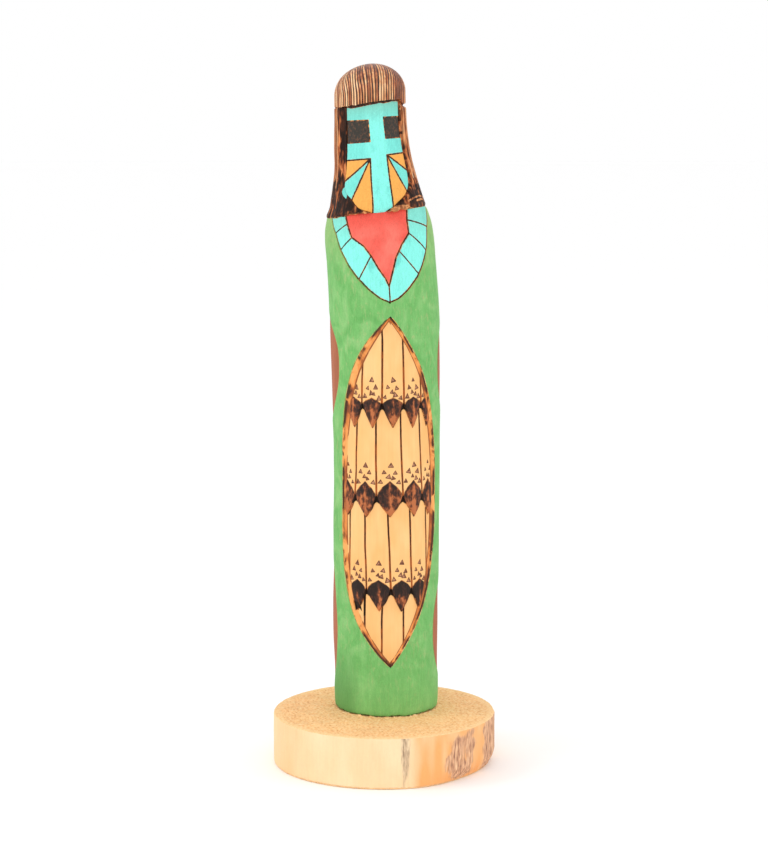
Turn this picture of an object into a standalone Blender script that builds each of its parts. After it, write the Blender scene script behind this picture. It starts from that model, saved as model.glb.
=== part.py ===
"""Carved and painted log figure on a slice of peeled log.

Metres, +Z up. The figure faces -Y, and the origin is on the table, at the centre of the
base's outline. The figure is one carving: its hair, face, bib, feather panel and side panels
are cut into a single round log, which two wood screws hold to the base from below.
"""
import math

import bmesh
import bpy

MM = 0.001

# Base: a slice of peeled log, lying on its sawn face.
BASE_DIAMETER = 104 * MM
BASE_THICKNESS = 24 * MM
BASE_EDGE = 0.8 * MM              # worn edge of the sawn faces
BASE_OVAL = 0.004                 # how far the outline is from round, as a share of its radius
BASE_OVAL_TURN = math.radians(25)
BASE_LOBES = 0.0025
BASE_LOBES_TURN = math.radians(10)
BASE_POINTS = 96

# Carved log. Heights are above the log's foot, radii are from its axis.
FIGURE_HEIGHT = 304 * MM
FIGURE_AXIS = (2.1 * MM, 9.3 * MM)    # where the log stands on the base
JOINT_GAP = 0.3 * MM                  # between pieces that touch
BODY_RADIUS = 25.1 * MM
LEAN_FROM = 165 * MM                  # the log is straight below this height
LEAN_TO = 290 * MM
LEAN = 7.7 * MM                       # how far the head has drifted towards -X
TILT_FROM = 212 * MM                  # the head's cross cuts turn square to the drift
TILT_TO = 236 * MM
TILT = 0.095                          # rise of those cuts towards +X, as a slope
TURN_STEPS = 96

# Head. The hair is as wide as the log lets it be, and the face is set back between its strands.
RIM_HEIGHT = 285 * MM                 # lower edge of the fringe
HEM_HEIGHT = 236 * MM                 # lower edge of the long hair
FACE_HALF_ANGLE = math.radians(54)
FACE_CLEAR_RADIUS = 13 * MM
FACE_CLEAR_BEYOND = 0.4 * MM          # how far the cut beside the face passes the rim and the hem
CHIN_RADIUS = 19.4 * MM
GROOVE = 0.8 * MM                     # half width and depth of the grooves at the rim and the hem
CAP_RADIUS = 16.7 * MM
CAP_BAND = 5 * MM                     # upright band of the fringe, below the dome
HEM_RADIUS = 23.0 * MM

# Bib: a flat cut from under the chin down the chest.
BIB_TOP_DEPTH = 18.6 * MM             # from the axis to the cut, at the hem
BIB_FOOT_HEIGHT = 205 * MM            # where the cut runs out at the log's surface

# Feather panel: a pointed oval cut into the front.
PANEL_BOTTOM = 23.5 * MM
PANEL_TOP = 188.5 * MM
PANEL_HALF_WIDTH = 21.7 * MM
PANEL_FULLNESS = 2.9                  # above 2, an oval stays wide nearer to its points
PANEL_ANGLE = math.radians(-1)
PANEL_RECESS = 1.5 * MM

# Side panels: two pointed ovals on each side.
SIDE_ANGLE = math.radians(99)         # from the front to a panel's middle
SIDE_HALF_WIDTH = 13.0 * MM
SIDE_PANELS = ((43 * MM, 34 * MM),    # height of the middle and half the height of each, lower first
               (163 * MM, 29 * MM))
SIDE_FULLNESS = 2.0
SIDE_RECESS = 0.8 * MM

# Wood screws, 4.2 mm x 38 mm, countersunk.
SCREW_LENGTH = 38 * MM
SCREW_RADIUS = 2.1 * MM
SCREW_HEAD_RADIUS = 4.1 * MM
SCREW_HEAD_HEIGHT = 2.6 * MM
SCREW_TIP = 5 * MM
SCREW_SUNK = 0.5 * MM                 # how far the head lies above the underside
SCREW_SPACING = 20 * MM
DRIVE_SLOT = 1.0 * MM
DRIVE_WIDTH = 4.4 * MM
DRIVE_DEPTH = 1.6 * MM
SCREW_STEPS = 32

OUTLINE_POINTS = 24                   # points along one side of a pointed oval


def clear_scene():
    for scene_object in list(bpy.data.objects):
        bpy.data.objects.remove(scene_object, do_unlink=True)


def new_collection(name):
    collection = bpy.data.collections.new(name)
    bpy.context.scene.collection.children.link(collection)
    return collection


def material(name, colour, roughness, metallic=0.0):
    made = bpy.data.materials.new(name)
    made.use_nodes = True
    shader = made.node_tree.nodes["Principled BSDF"]
    shader.inputs["Base Color"].default_value = (*colour, 1.0)
    shader.inputs["Roughness"].default_value = roughness
    shader.inputs["Metallic"].default_value = metallic
    return made


def add_object(name, mesh, collection):
    made = bpy.data.objects.new(name, mesh)
    collection.objects.link(made)
    return made


def turned(name, profile, steps, collection):
    """Turn a profile of (radius, height) points, given from top to bottom, about Z."""
    mesh = bpy.data.meshes.new(name)
    points = [(radius, 0.0, height) for radius, height in profile]
    edges = [(index, index + 1) for index in range(len(points) - 1)]
    mesh.from_pydata(points, edges, [])
    made = add_object(name, mesh, collection)
    screw = made.modifiers.new("Turn", 'SCREW')
    screw.axis = 'Z'
    screw.steps = steps
    screw.render_steps = steps
    screw.use_merge_vertices = True
    screw.merge_threshold = 0.00001
    return made


def prism(name, outline, thickness, collection):
    """Extrude a closed outline of (x, y) points to both sides of its plane."""
    curve = bpy.data.curves.new(name, 'CURVE')
    curve.dimensions = '2D'
    curve.fill_mode = 'BOTH'
    curve.extrude = thickness / 2
    spline = curve.splines.new('POLY')
    spline.points.add(len(outline) - 1)
    for point, (x, y) in zip(spline.points, outline):
        point.co = (x, y, 0.0, 1.0)
    spline.use_cyclic_u = True
    source = add_object(name + "_curve", curve, collection)
    bpy.context.view_layer.update()
    evaluated = source.evaluated_get(bpy.context.evaluated_depsgraph_get())
    mesh = bpy.data.meshes.new_from_object(evaluated)
    mesh.name = name
    shape = bmesh.new()
    shape.from_mesh(mesh)
    bmesh.ops.remove_doubles(shape, verts=shape.verts, dist=0.000001)
    shape.to_mesh(mesh)
    shape.free()
    bpy.data.objects.remove(source, do_unlink=True)
    return add_object(name, mesh, collection)


def cylinder(name, radius, length, middle, collection):
    mesh = bpy.data.meshes.new(name)
    shape = bmesh.new()
    bmesh.ops.create_cone(shape, cap_ends=True, segments=SCREW_STEPS, radius1=radius,
                          radius2=radius, depth=length)
    shape.to_mesh(mesh)
    shape.free()
    made = add_object(name, mesh, collection)
    made.location = middle
    return made


def box(name, size, middle, collection):
    mesh = bpy.data.meshes.new(name)
    shape = bmesh.new()
    bmesh.ops.create_cube(shape, size=1.0)
    bmesh.ops.scale(shape, vec=size, verts=shape.verts)
    shape.to_mesh(mesh)
    shape.free()
    made = add_object(name, mesh, collection)
    made.location = middle
    return made


def boolean(target, other, operation='DIFFERENCE'):
    cut = target.modifiers.new(other.name, 'BOOLEAN')
    cut.operation = operation
    cut.solver = 'EXACT'
    cut.object = other


def hide_cutters(collection):
    for cutter in collection.objects:
        cutter.hide_render = True
        cutter.display_type = 'WIRE'


def pointed_oval(half_width, half_height, fullness):
    """Outline of two bowed sides that meet in points at the top and bottom."""
    right = []
    for step in range(OUTLINE_POINTS):
        share = 2 * step / OUTLINE_POINTS - 1
        right.append((half_width * (1 - abs(share) ** fullness), half_height * share))
    return right + [(-x, -y) for x, y in right]


def log_profile(recess=0.0):
    """Half section of the log from its crown to its foot, optionally pared down all over."""
    dome_foot = RIM_HEIGHT + CAP_BAND
    dome_height = FIGURE_HEIGHT - dome_foot
    arc = [math.radians(angle) for angle in range(80, -1, -10)]
    crown = [(math.cos(angle) * CAP_RADIUS, dome_foot + math.sin(angle) * dome_height)
             for angle in arc]
    rim = [(CAP_RADIUS, RIM_HEIGHT + GROOVE),
           (CAP_RADIUS - GROOVE, RIM_HEIGHT),
           (CAP_RADIUS - 0.1 * MM, RIM_HEIGHT - GROOVE)]
    hair = [(16.9 * MM, 273 * MM),
            (17.5 * MM, 266 * MM),
            (18.3 * MM, 259 * MM),
            (19.4 * MM, 252 * MM),
            (20.8 * MM, 245 * MM)]
    hem = [(HEM_RADIUS - 0.1 * MM, HEM_HEIGHT + GROOVE),
           (HEM_RADIUS - GROOVE, HEM_HEIGHT),
           (HEM_RADIUS + 0.4 * MM, HEM_HEIGHT - GROOVE)]
    robe = [(24.6 * MM, 231 * MM),
            (25.4 * MM, 224 * MM),
            (25.6 * MM, 190 * MM),
            (25.4 * MM, 160 * MM),
            (BODY_RADIUS, 110 * MM),
            (BODY_RADIUS - 0.2 * MM, 50 * MM),
            (BODY_RADIUS - 0.4 * MM, 4 * MM),
            (BODY_RADIUS - 0.8 * MM, 0.0)]
    outer = [(radius - recess, height) for radius, height in crown + rim + hair + hem + robe]
    return [(0.0, FIGURE_HEIGHT)] + outer + [(0.0, 0.0)]


def face_profile():
    """Half section of the face: upright at the brow, forward at the chin, tucked in below it."""
    return [(0.0, RIM_HEIGHT + 2 * MM),
            (14.6 * MM, RIM_HEIGHT + 2 * MM),
            (14.9 * MM, 273 * MM),
            (16.2 * MM, 262 * MM),
            (18.2 * MM, 251 * MM),
            (CHIN_RADIUS, 243 * MM),
            (CHIN_RADIUS - 0.6 * MM, 238.5 * MM),
            (CHIN_RADIUS - 2.6 * MM, 235 * MM),
            (0.0, 233 * MM)]


def sector_outline(half_angle, reach):
    """Wedge about the axis that opens towards -Y."""
    arc = [-math.pi / 2 - half_angle + 2 * half_angle * step / 12 for step in range(13)]
    return [(0.0, 0.0)] + [(reach * math.cos(angle), reach * math.sin(angle)) for angle in arc]


def smooth_step(value, start, end):
    """From 0 at the start to 1 at the end, level at both."""
    share = min(max((value - start) / (end - start), 0.0), 1.0)
    return share * share * (3 - 2 * share)


def cut_face(figure, cutters):
    """Clear the wood between the strands of hair, and set the face in behind them."""
    clear_height = RIM_HEIGHT - HEM_HEIGHT + 2 * FACE_CLEAR_BEYOND
    clearance = prism("face_clearance", sector_outline(FACE_HALF_ANGLE, 2 * HEM_RADIUS),
                      clear_height, cutters)
    clearance.location.z = (RIM_HEIGHT + HEM_HEIGHT) / 2
    core = cylinder("face_core", FACE_CLEAR_RADIUS, 2 * clear_height,
                    (0.0, 0.0, clearance.location.z), cutters)
    boolean(clearance, core)
    boolean(figure, clearance)
    face = turned("face_block", face_profile(), TURN_STEPS, cutters)
    boolean(figure, face, 'UNION')


def cut_bib(figure, cutters):
    """Pare the chest flat under the chin."""
    rise = HEM_HEIGHT - BIB_FOOT_HEIGHT
    run = 25.6 * MM - BIB_TOP_DEPTH
    slab_height = 2 * math.hypot(rise, run)
    slab_depth = 20 * MM
    slope = math.atan2(run, rise)
    # The slab's lower rear corner is on the log's surface and its rear face climbs under the chin.
    slab = box("bib_cut", (80 * MM, slab_depth, slab_height), (0.0, 0.0, 0.0), cutters)
    up = (math.sin(slope), math.cos(slope))
    out = (-math.cos(slope), math.sin(slope))
    climb = math.hypot(rise, run) - slab_height / 2
    slab.location.y = -25.6 * MM + up[0] * climb + out[0] * slab_depth / 2
    slab.location.z = BIB_FOOT_HEIGHT + up[1] * climb + out[1] * slab_depth / 2
    slab.rotation_euler.x = -slope
    keep = cylinder("chin_keep", CHIN_RADIUS + 0.5 * MM, 60 * MM,
                    (0.0, 0.0, HEM_HEIGHT - 1.5 * MM + 30 * MM), cutters)
    boolean(slab, keep)
    boolean(figure, slab)


def cut_panel(figure, cutters, name, outline, angle, middle, recess):
    """Sink an outline into the log, to an even depth, facing angle from the front."""
    cutter = prism(name, outline, 2 * BODY_RADIUS, cutters)
    reach = BODY_RADIUS + 8 * MM
    cutter.rotation_euler = (math.pi / 2, 0.0, angle)
    cutter.location = (math.sin(angle) * reach, -math.cos(angle) * reach, middle)
    core = turned(name + "_core", log_profile(recess), TURN_STEPS, cutters)
    boolean(cutter, core)
    boolean(figure, cutter)


def cut_pilot_holes(figure, cutters, screw_places):
    depth = SCREW_SUNK + SCREW_LENGTH - BASE_THICKNESS + 1 * MM
    for number, (x, y) in enumerate(screw_places, start=1):
        middle = (x - FIGURE_AXIS[0], y - FIGURE_AXIS[1], 0.0)
        boolean(figure, cylinder(f"pilot_{number}", SCREW_RADIUS + JOINT_GAP, 2 * depth,
                                 middle, cutters))


def lean_log(figure):
    """Keep the carved shape as plain mesh, moved along the log's drift and tilted with it."""
    bpy.context.view_layer.update()
    evaluated = figure.evaluated_get(bpy.context.evaluated_depsgraph_get())
    carved = bpy.data.meshes.new_from_object(evaluated)
    for vertex in carved.vertices:
        across, _, height = vertex.co
        vertex.co.x -= LEAN * smooth_step(height, LEAN_FROM, LEAN_TO)
        vertex.co.z += TILT * smooth_step(height, TILT_FROM, TILT_TO) * across
    figure.modifiers.clear()
    figure.data = carved


def make_figure(parts, cutters, screw_places):
    figure = turned("carved_figure", log_profile(), TURN_STEPS, parts)
    cut_face(figure, cutters)
    cut_bib(figure, cutters)
    feather_outline = pointed_oval(PANEL_HALF_WIDTH, (PANEL_TOP - PANEL_BOTTOM) / 2, PANEL_FULLNESS)
    cut_panel(figure, cutters, "feather_panel", feather_outline, PANEL_ANGLE,
              (PANEL_TOP + PANEL_BOTTOM) / 2, PANEL_RECESS)
    for side in (-1, 1):
        for number, (height, half_height) in enumerate(SIDE_PANELS, start=1):
            name = f"side_panel_{'left' if side < 0 else 'right'}_{number}"
            outline = pointed_oval(SIDE_HALF_WIDTH, half_height, SIDE_FULLNESS)
            cut_panel(figure, cutters, name, outline, side * SIDE_ANGLE, height, SIDE_RECESS)
    cut_pilot_holes(figure, cutters, screw_places)
    lean_log(figure)
    figure.location = (*FIGURE_AXIS, BASE_THICKNESS + JOINT_GAP)
    figure.data.materials.append(material("painted_wood", (0.20, 0.53, 0.18), 0.75))
    return figure


def base_outline():
    """Nearly round outline, the same on opposite sides, so that its box is centred."""
    points = []
    for step in range(BASE_POINTS):
        angle = math.tau * step / BASE_POINTS
        wave = (BASE_OVAL * math.cos(2 * (angle - BASE_OVAL_TURN))
                + BASE_LOBES * math.cos(4 * (angle - BASE_LOBES_TURN)))
        radius = BASE_DIAMETER / 2 * (1 + wave)
        points.append((radius * math.cos(angle), radius * math.sin(angle)))
    return points


def countersink_profile():
    """Clearance hole of a screw, wider by the joint gap, and open at both sawn faces."""
    hole = SCREW_RADIUS + JOINT_GAP
    mouth = SCREW_HEAD_RADIUS + JOINT_GAP
    return [(0.0, BASE_THICKNESS + 1 * MM),
            (hole, BASE_THICKNESS + 1 * MM),
            (hole, SCREW_SUNK + SCREW_HEAD_HEIGHT + JOINT_GAP),
            (mouth, SCREW_SUNK),
            (mouth, -1 * MM),
            (0.0, -1 * MM)]


def make_base(parts, cutters, screw_places):
    base = prism("base_slice", base_outline(), BASE_THICKNESS, parts)
    base.location.z = BASE_THICKNESS / 2
    edge = base.modifiers.new("Worn edge", 'BEVEL')
    edge.width = BASE_EDGE
    edge.segments = 2
    edge.limit_method = 'ANGLE'
    edge.angle_limit = math.radians(40)
    for number, (x, y) in enumerate(screw_places, start=1):
        hole = turned(f"screw_hole_{number}", countersink_profile(), SCREW_STEPS, cutters)
        hole.location = (x, y, 0.0)
        boolean(base, hole)
    base.data.materials.append(material("peeled_wood", (0.86, 0.68, 0.44), 0.85))
    return base


def screw_profile():
    """Half section of a countersunk screw, with its point up and its head at height 0."""
    return [(0.0, SCREW_LENGTH),
            (SCREW_RADIUS, SCREW_LENGTH - SCREW_TIP),
            (SCREW_RADIUS, SCREW_HEAD_HEIGHT),
            (SCREW_HEAD_RADIUS, 0.4 * MM),
            (SCREW_HEAD_RADIUS, 0.0),
            (0.0, 0.0)]


def make_screws(parts, cutters, screw_places):
    steel = material("zinc_steel", (0.62, 0.62, 0.60), 0.35, 1.0)
    for number, (x, y) in enumerate(screw_places, start=1):
        screw = turned(f"base_screw_{number}", screw_profile(), SCREW_STEPS, parts)
        screw.location = (x, y, SCREW_SUNK)
        for turn in (0.0, math.pi / 2):
            slot = box(f"drive_{number}_{turn:.0f}", (DRIVE_WIDTH, DRIVE_SLOT, 2 * DRIVE_DEPTH),
                       (x, y, SCREW_SUNK), cutters)
            slot.rotation_euler.z = turn
            boolean(screw, slot)
        screw.data.materials.append(steel)


def main():
    clear_scene()
    parts = new_collection("carved_log_figure")
    cutters = new_collection("cutters")
    screw_places = [(FIGURE_AXIS[0] + side * SCREW_SPACING / 2, FIGURE_AXIS[1]) for side in (-1, 1)]
    make_base(parts, cutters, screw_places)
    make_figure(parts, cutters, screw_places)
    make_screws(parts, cutters, screw_places)
    hide_cutters(cutters)


main()
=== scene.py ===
"""Looks for the carved log figure: a painted, wood-burned carving on a slice of peeled log.

The carving is drawn in its own polar coordinates: an angle from the front (degrees, positive
to the viewer's right), a height above the log's foot and a radius from the log's axis (both
in millimetres). place() turns those into the frame's metres.
"""

import math

import bpy
import numpy as np
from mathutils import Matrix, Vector


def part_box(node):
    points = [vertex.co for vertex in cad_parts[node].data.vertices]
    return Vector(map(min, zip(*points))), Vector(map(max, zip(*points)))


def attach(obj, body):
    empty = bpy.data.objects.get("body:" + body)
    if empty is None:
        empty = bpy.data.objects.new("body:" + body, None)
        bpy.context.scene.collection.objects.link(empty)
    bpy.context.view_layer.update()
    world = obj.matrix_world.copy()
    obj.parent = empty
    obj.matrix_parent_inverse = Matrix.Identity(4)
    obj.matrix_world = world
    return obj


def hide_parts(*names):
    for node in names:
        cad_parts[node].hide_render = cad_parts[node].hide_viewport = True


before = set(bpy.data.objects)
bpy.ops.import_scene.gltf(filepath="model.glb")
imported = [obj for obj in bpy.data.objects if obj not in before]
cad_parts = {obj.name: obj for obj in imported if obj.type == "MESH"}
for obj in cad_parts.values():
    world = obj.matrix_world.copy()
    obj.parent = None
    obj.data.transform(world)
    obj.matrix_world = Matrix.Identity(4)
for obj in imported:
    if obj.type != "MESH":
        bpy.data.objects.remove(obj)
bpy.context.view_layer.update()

MM = 0.001

# --- Where things stand, from the frame ------------------------------------------------------
base_low, base_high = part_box("base_slice")
figure_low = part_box("carved_figure")[0]
SCREWS = ("base_screw_1", "base_screw_2")
screw_middles = [(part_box(name)[0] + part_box(name)[1]) / 2 for name in SCREWS]
axis_at_foot = (screw_middles[0] + screw_middles[1]) / 2
CLOSER = 0.2 * MM                 # how far the drawn foot reaches into the CAD's gap over the base
FOOT = Vector((axis_at_foot.x, axis_at_foot.y, figure_low.z - CLOSER))
BASE_TOP = base_high.z

# --- The log ---------------------------------------------------------------------------------
LEAN = 7.7                        # sideways drift of the axis at the head
LEAN_SPAN = (165, 290)
TILT = 0.095                      # slope of the head's cross lines, which follow the drift
TILT_SPAN = (212, 236)
BODY = 25.0                       # radius on which arcs across the body are measured
RADIAN = 57.3                     # degrees, rounded
FAR = 99.0                        # distances are measured up to this
BEYOND = 9.0                      # a distance at which no line or edge has an effect
HEM = 236.0                       # lower edge of the long hair
RIM = 285.0                       # lower edge of the fringe
CAP_RADIUS = 16.5
CAP_BAND = 5.0
CROWN = 303.5

LOG_PROFILE = ((0, 24.3), (4, 24.5), (22, 24.6), (60, 25.0), (100, 25.1), (137, 25.2), (166, 25.45),
               (190, 25.7), (212, 25.55), (224, 25.35), (229, 24.8), (233, 23.8), (237, 22.65),
               (243.5, 21.05), (252, 19.3), (258, 18.2), (264, 17.55), (270, 17.1), (277, 16.75),
               (285, 16.55), (292, 16.5))


def smooth(value, start, end):
    """0 before start, 1 past end, smooth between. Start may be the greater."""
    share = np.clip((value - start) / (end - start), 0.0, 1.0)
    return share * share * (3 - 2 * share)


def bell(value, width):
    return np.exp(-(value / width) ** 2)


def decay(value, width):
    return np.exp(-value / width)


def to_arc(angle, radius=BODY):
    """Distance round the log for an angle."""
    return angle / RADIAN * radius


def fair_curve(points):
    """Smooth function through (position, value) points."""
    xs, ys = np.array(points, float).T
    slopes = np.gradient(ys, xs)

    def curve(x):
        x = np.clip(x, xs[0], xs[-1])
        index = np.clip(np.searchsorted(xs, x) - 1, 0, len(xs) - 2)
        width = xs[index + 1] - xs[index]
        t = (x - xs[index]) / width
        return ((1 + 2 * t) * (1 - t) ** 2 * ys[index] + t * (1 - t) ** 2 * width * slopes[index]
                + t * t * (3 - 2 * t) * ys[index + 1] + t * t * (t - 1) * width * slopes[index + 1])

    return curve


log_radius = fair_curve(LOG_PROFILE)


def value_noise(u, v, seed, repeat=64):
    """Smooth random numbers from -1 to 1 over a lattice with unit cells."""
    table = np.random.default_rng(seed).uniform(-1, 1, (repeat, repeat))
    u, v = np.broadcast_arrays(np.asarray(u, float), np.asarray(v, float))
    low_u, low_v = np.floor(u).astype(int), np.floor(v).astype(int)
    part_u, part_v = u - low_u, v - low_v
    part_u, part_v = part_u ** 2 * (3 - 2 * part_u), part_v ** 2 * (3 - 2 * part_v)
    a, b = low_u % repeat, (low_u + 1) % repeat
    c, d = low_v % repeat, (low_v + 1) % repeat
    bottom = table[a, c] * (1 - part_u) + table[b, c] * part_u
    top = table[a, d] * (1 - part_u) + table[b, d] * part_u
    return bottom * (1 - part_v) + top * part_v


def noise_round(angle, height, waves, pitch, seed):
    """The same round the log: cells to a whole turn, and millimetres to a cell of height."""
    return value_noise(angle / 360 * waves, height / pitch, seed, waves)


def place(angle, height, radius):
    """Polar coordinates of the carving to a point of the frame."""
    turn = np.radians(angle)
    across = radius * np.sin(turn)
    lean = -LEAN * smooth(height, *LEAN_SPAN)
    tilt = TILT * smooth(height, *TILT_SPAN)
    return np.stack([FOOT.x + (across + lean) * MM,
                     FOOT.y - radius * np.cos(turn) * MM,
                     FOOT.z + (height + tilt * across) * MM], axis=-1)


def unevenness(angle, height):
    """Slow swells that the hand tools left in the log."""
    return 0.22 * noise_round(angle, height, 16, 38, 11) + 0.10 * noise_round(angle, height, 32, 13, 12)


# --- Meshes ----------------------------------------------------------------------------------
SHARP = math.radians(40)          # edges that bend more than this are drawn as corners


def to_object(name, vertices, faces, fields, material):
    mesh = bpy.data.meshes.new(name)
    mesh.from_pydata(vertices.tolist(), [], faces)
    for field, values in fields.items():
        stored = mesh.attributes.new(field, 'FLOAT', 'POINT')
        stored.data.foreach_set("value", np.asarray(values, np.float32))
    mesh.polygons.foreach_set("use_smooth", [True] * len(mesh.polygons))
    mesh.set_sharp_from_angle(angle=SHARP)
    mesh.materials.append(material)
    made = bpy.data.objects.new(name, mesh)
    bpy.context.scene.collection.objects.link(made)
    return made


def grid_faces(rows, columns, wrap):
    """Quads of a grid whose rows run upwards and whose columns run to the viewer's right."""
    last = columns if wrap else columns - 1
    row, column = np.meshgrid(np.arange(rows - 1), np.arange(last), indexing="ij")
    beside = (column + 1) % columns
    corners = [row * columns + column, row * columns + beside,
               (row + 1) * columns + beside, (row + 1) * columns + column]
    return np.stack(corners, axis=-1).reshape(-1, 4).tolist()


def tube(name, points, fields, material):
    """Closed solid from rings, lowest first, with a fan at each end."""
    rows, columns = points.shape[:2]
    flat = points.reshape(-1, 3)
    ends = [points[0].mean(axis=0), points[-1].mean(axis=0)]
    faces = grid_faces(rows, columns, True)
    foot, head = rows * columns, rows * columns + 1
    top = (rows - 1) * columns
    for column in range(columns):
        beside = (column + 1) % columns
        faces.append([beside, column, foot])
        faces.append([top + column, top + beside, head])
    flat_fields = {key: np.concatenate([value.ravel(), [value[0].mean(), value[-1].mean()]])
                   for key, value in fields.items()}
    return to_object(name, np.vstack([flat, ends]), faces, flat_fields, material)


BODY_SPINE, HEAD_SPINE = 13.0, 7.0    # radius of the line behind a sheet of the body or the head


def spine(heights, radius):
    """A line of points inside the log."""
    return place(0 * heights, heights, radius + 0 * heights)


def patch(name, points, back, fields, material):
    """Closed solid from a sheet of points, lowest row first, and a line of points behind it."""
    rows, columns = points.shape[:2]
    deepest = rows * columns
    faces = grid_faces(rows, columns, False)
    for row in range(rows - 1):
        left, right, deep = row * columns, row * columns + columns - 1, deepest + row
        faces.append([deep, left, left + columns, deep + 1])
        faces.append([right, deep, deep + 1, right + columns])
    faces.append(list(range(columns - 1, -1, -1)) + [deepest])
    faces.append([(rows - 1) * columns + column for column in range(columns)] + [deepest + rows - 1])
    flat_fields = {key: np.concatenate([value.ravel(), value.mean(axis=1)])
                   for key, value in fields.items()}
    return to_object(name, np.vstack([points.reshape(-1, 3), back]), faces, flat_fields, material)


def segment_distance(x, y, start, end):
    (x0, y0), (x1, y1) = start, end
    along_x, along_y = x1 - x0, y1 - y0
    t = np.clip(((x - x0) * along_x + (y - y0) * along_y) / (along_x ** 2 + along_y ** 2), 0, 1)
    return np.hypot(x - x0 - t * along_x, y - y0 - t * along_y)


def line_distance(x, y, lines):
    """Distance to the nearest of some open lines of points."""
    nearest = np.full(x.shape, FAR)
    for line in lines:
        for start, end in zip(line, line[1:]):
            nearest = np.minimum(nearest, segment_distance(x, y, start, end))
    return nearest


MARGIN = 3                        # distances to a shape are worked out this far round it


def shape_distance(x, y, shapes):
    """Distance to the nearest of some closed shapes, below zero inside one."""
    nearest = np.full(x.shape, FAR)
    for shape in shapes:
        xs, ys = zip(*shape)
        near = ((x > min(xs) - MARGIN) & (x < max(xs) + MARGIN)
                & (y > min(ys) - MARGIN) & (y < max(ys) + MARGIN))
        if not near.any():
            continue
        px, py = x[near], y[near]
        away = np.full(px.shape, FAR)
        inside = np.zeros(px.shape, bool)
        for (x0, y0), (x1, y1) in zip(shape, shape[1:] + shape[:1]):
            away = np.minimum(away, segment_distance(px, py, (x0, y0), (x1, y1)))
            crosses = (y0 > py) != (y1 > py)
            inside ^= crosses & (px < (x1 - x0) * (py - y0) / ((y1 - y0) or 1e-9) + x0)
        nearest[near] = np.minimum(nearest[near], np.where(inside, -away, away))
    return nearest


# --- Node materials --------------------------------------------------------------------------
def linear(colour):
    """Screen colour, 0 to 255, as the linear colour that shaders take."""
    shares = [channel / 255 for channel in colour]
    return [share / 12.92 if share <= 0.04045 else ((share + 0.055) / 1.055) ** 2.4
            for share in shares] + [1.0]


class Look:
    """One material and its nodes. Noise scales are in waves per millimetre.

    An input takes a number, a screen colour, another node's output, or the name of a field that
    is stored on the mesh.
    """

    def __init__(self, name):
        self.material = bpy.data.materials.new(name)
        self.material.use_nodes = True
        self.nodes = self.material.node_tree.nodes
        self.links = self.material.node_tree.links
        self.shader = self.nodes["Principled BSDF"]
        self.coordinates = self.nodes.new("ShaderNodeTexCoord")
        self.colour = None

    def put(self, socket, value):
        if isinstance(value, str):
            node = self.nodes.new("ShaderNodeAttribute")
            node.attribute_name = value
            value = node.outputs["Fac"]
        if isinstance(value, bpy.types.NodeSocket):
            self.links.new(value, socket)
        else:
            socket.default_value = linear(value) if isinstance(value, tuple) else value

    def fill(self, node, inputs):
        """Set inputs by name, where underscores stand for spaces."""
        for name, value in inputs.items():
            self.put(node.inputs[name.replace("_", " ")], value)
        return node

    def add(self, kind, **inputs):
        return self.fill(self.nodes.new("ShaderNode" + kind), inputs)

    def noise(self, scale, detail=2.0, distortion=0.0):
        mapped = self.add("Mapping", Vector=self.coordinates.outputs["Object"], Scale=Vector(scale) / MM)
        node = self.add("TexNoise", Vector=mapped.outputs["Vector"], Scale=1.0, Detail=detail,
                        Distortion=distortion)
        return node.outputs["Fac"]

    def math(self, operation, first, second, third=0.0):
        node = self.nodes.new("ShaderNodeMath")
        node.operation = operation
        for socket, value in zip(node.inputs, (first, second, third)):
            self.put(socket, value)
        return node.outputs[0]

    def step(self, value, start, end, amount=1.0):
        """0 below start, amount above end, smooth between. Start may be the greater."""
        (low, at_low), (high, at_high) = sorted([(start, 0.0), (end, amount)])
        node = self.add("MapRange", Value=value, From_Min=low, From_Max=high, To_Min=at_low, To_Max=at_high)
        node.interpolation_type = 'SMOOTHSTEP'
        return node.outputs["Result"]

    def mix(self, share, first, second):
        node = self.nodes.new("ShaderNodeMix")
        node.data_type = 'RGBA'
        for index, value in ((0, share), (6, first), (7, second)):
            self.put(node.inputs[index], value)
        return node.outputs[2]

    def lay(self, over, value, start, end, amount=1.0):
        """Lay another colour over the material's, from nothing at start to amount at end."""
        self.colour = self.mix(self.step(value, start, end, amount), self.colour, over)

    def shades(self, share, *stops):
        """Colour ramp through (position, colour) stops."""
        node = self.add("ValToRGB", Fac=share)
        elements = node.color_ramp.elements
        while len(elements) < len(stops):
            elements.new(0.5)
        for element, (position, colour) in zip(elements, stops):
            element.position = position
            element.color = linear(colour)
        return node.outputs["Color"]

    def tint(self, amount, dark, light):
        """The same as tone, for the material's own colour."""
        self.colour = self.tone(self.colour, amount, dark, light)

    def tone(self, colour, amount, dark, light):
        """Multiply a colour by a grey between dark and light."""
        grey = self.add("MapRange", Value=amount, From_Min=0.3, From_Max=0.7, To_Min=dark, To_Max=light)
        scale = self.nodes.new("ShaderNodeVectorMath")
        scale.operation = 'SCALE'
        self.put(scale.inputs[0], linear(colour)[:3] if isinstance(colour, tuple) else colour)
        self.put(scale.inputs["Scale"], grey.outputs["Result"])
        return scale.outputs[0]

    def bump(self, height, depth):
        """Relief of the given depth in millimetres, on top of what is there already."""
        node = self.add("Bump", Distance=depth * MM, Strength=1.0, Height=height)
        normal = self.shader.inputs["Normal"]
        if normal.is_linked:
            self.links.new(normal.links[0].from_socket, node.inputs["Normal"])
        self.links.new(node.outputs["Normal"], normal)

    def finish(self, roughness, **inputs):
        self.fill(self.shader, dict(inputs, Base_Color=self.colour, Roughness=roughness))
        return self.material


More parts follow.
